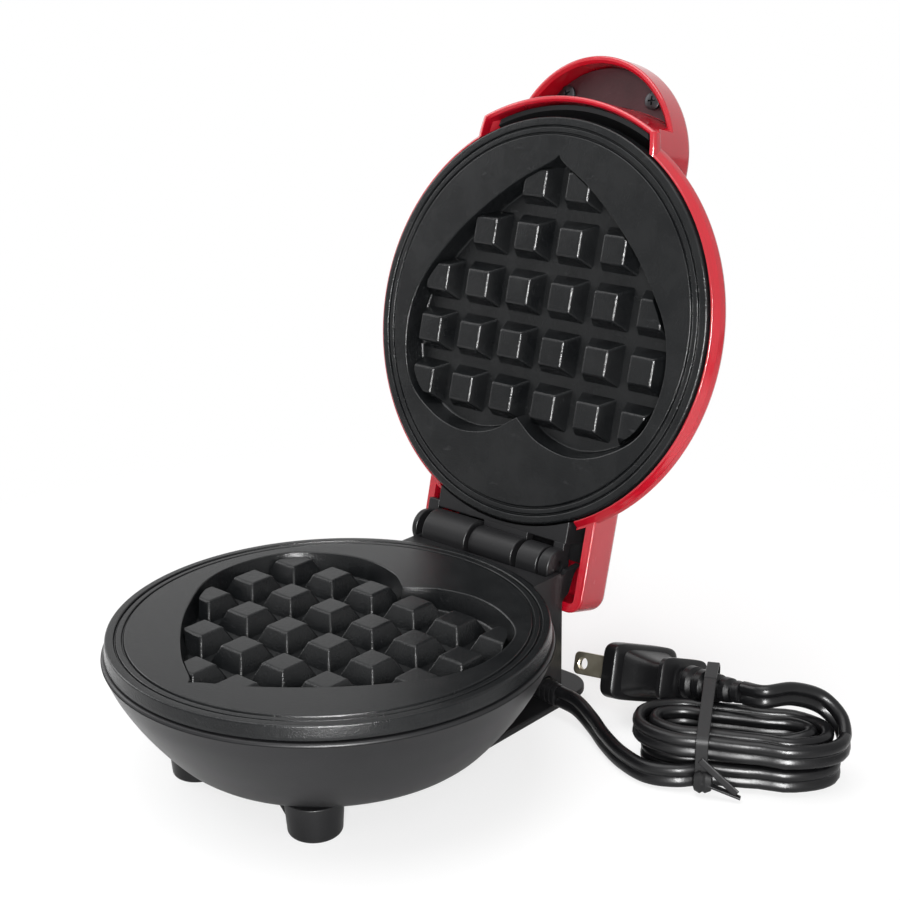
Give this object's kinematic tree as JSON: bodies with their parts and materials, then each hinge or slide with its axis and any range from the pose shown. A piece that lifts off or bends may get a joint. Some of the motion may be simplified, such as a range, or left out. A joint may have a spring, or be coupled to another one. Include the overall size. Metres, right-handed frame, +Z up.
{
  "type": "heart waffle maker",
  "caption": "Small countertop waffle maker with a hinged red lid, heart-shaped waffle plates, short feet, a front handle bill and a tied power cord with plug.",
  "frame": {"origin": "on the surface the appliance stands on, under the middle of its footprint with the lid open, measured without the cord", "axes": "+Z up, +X along the hinge towards the side where the cord leaves, -Y towards the handle side of the base"},
  "size_m": [0.1708, 0.1826, 0.1736],
  "materials": {
    "lid_red": "glossy moulded red",
    "handle_panel_dark": "glossy dark red",
    "black_plastic": "satin moulded black",
    "nonstick_plate": "cast, dark non-stick coating",
    "element_steel": "heat-tinted sheath",
    "tray_metal": "plain sheet",
    "phenolic": "moulded",
    "fuse_metal": "tinned",
    "ceramic": "unglazed",
    "lens": "clear tinted",
    "screw_steel": "zinc plated",
    "cord_pvc": "smooth glossy sheath",
    "plug_pvc": "satin moulded",
    "tie_plastic": "plastic-coated wire",
    "blade_metal": "nickel-plated brass"
  },
  "bodies": {
    "base": {"base_shell": "black_plastic", "rear_stand": "black_plastic", "rear_stand_screw_1": "screw_steel", "rear_stand_screw_2": "screw_steel", "rear_stand_screw_3": "screw_steel", "front_foot_left": "black_plastic", "front_foot_right": "black_plastic", "lower_plate": "nonstick_plate", "lower_heating_element": "element_steel", "lower_reflector_tray": "tray_metal", "lower_plate_screw_1": "screw_steel", "lower_plate_screw_2": "screw_steel", "lower_plate_screw_3": "screw_steel", "hinge_pin": "screw_steel", "terminal_block": "ceramic", "cord_strain_relief": "cord_pvc", "cord_lead": "cord_pvc", "cord_hank": "cord_pvc", "cord_tie": "tie_plastic", "plug_body": "plug_pvc", "plug_blade_narrow": "blade_metal", "plug_blade_wide": "blade_metal"},
    "lid": {"lid_shell": "lid_red", "handle_panel": "handle_panel_dark", "handle_screw_left": "screw_steel", "handle_screw_right": "screw_steel", "lid_frame": "black_plastic", "lid_frame_screw_left": "screw_steel", "lid_frame_screw_right": "screw_steel", "upper_plate": "nonstick_plate", "upper_heating_element": "element_steel", "upper_reflector_tray": "tray_metal", "upper_plate_screw_1": "screw_steel", "upper_plate_screw_2": "screw_steel", "upper_plate_screw_3": "screw_steel", "thermostat": "phenolic", "thermal_fuse": "fuse_metal", "indicator_lamp": "phenolic", "indicator_lens": "lens"}
  },
  "joints": [
    {"name": "lid_hinge", "type": "hinge", "parent": "base", "child": "lid", "pos_m": [0, 0.03302, 0.0398], "axis": [1, 0, 0], "range_deg": [0, 104.6]}
  ]
}
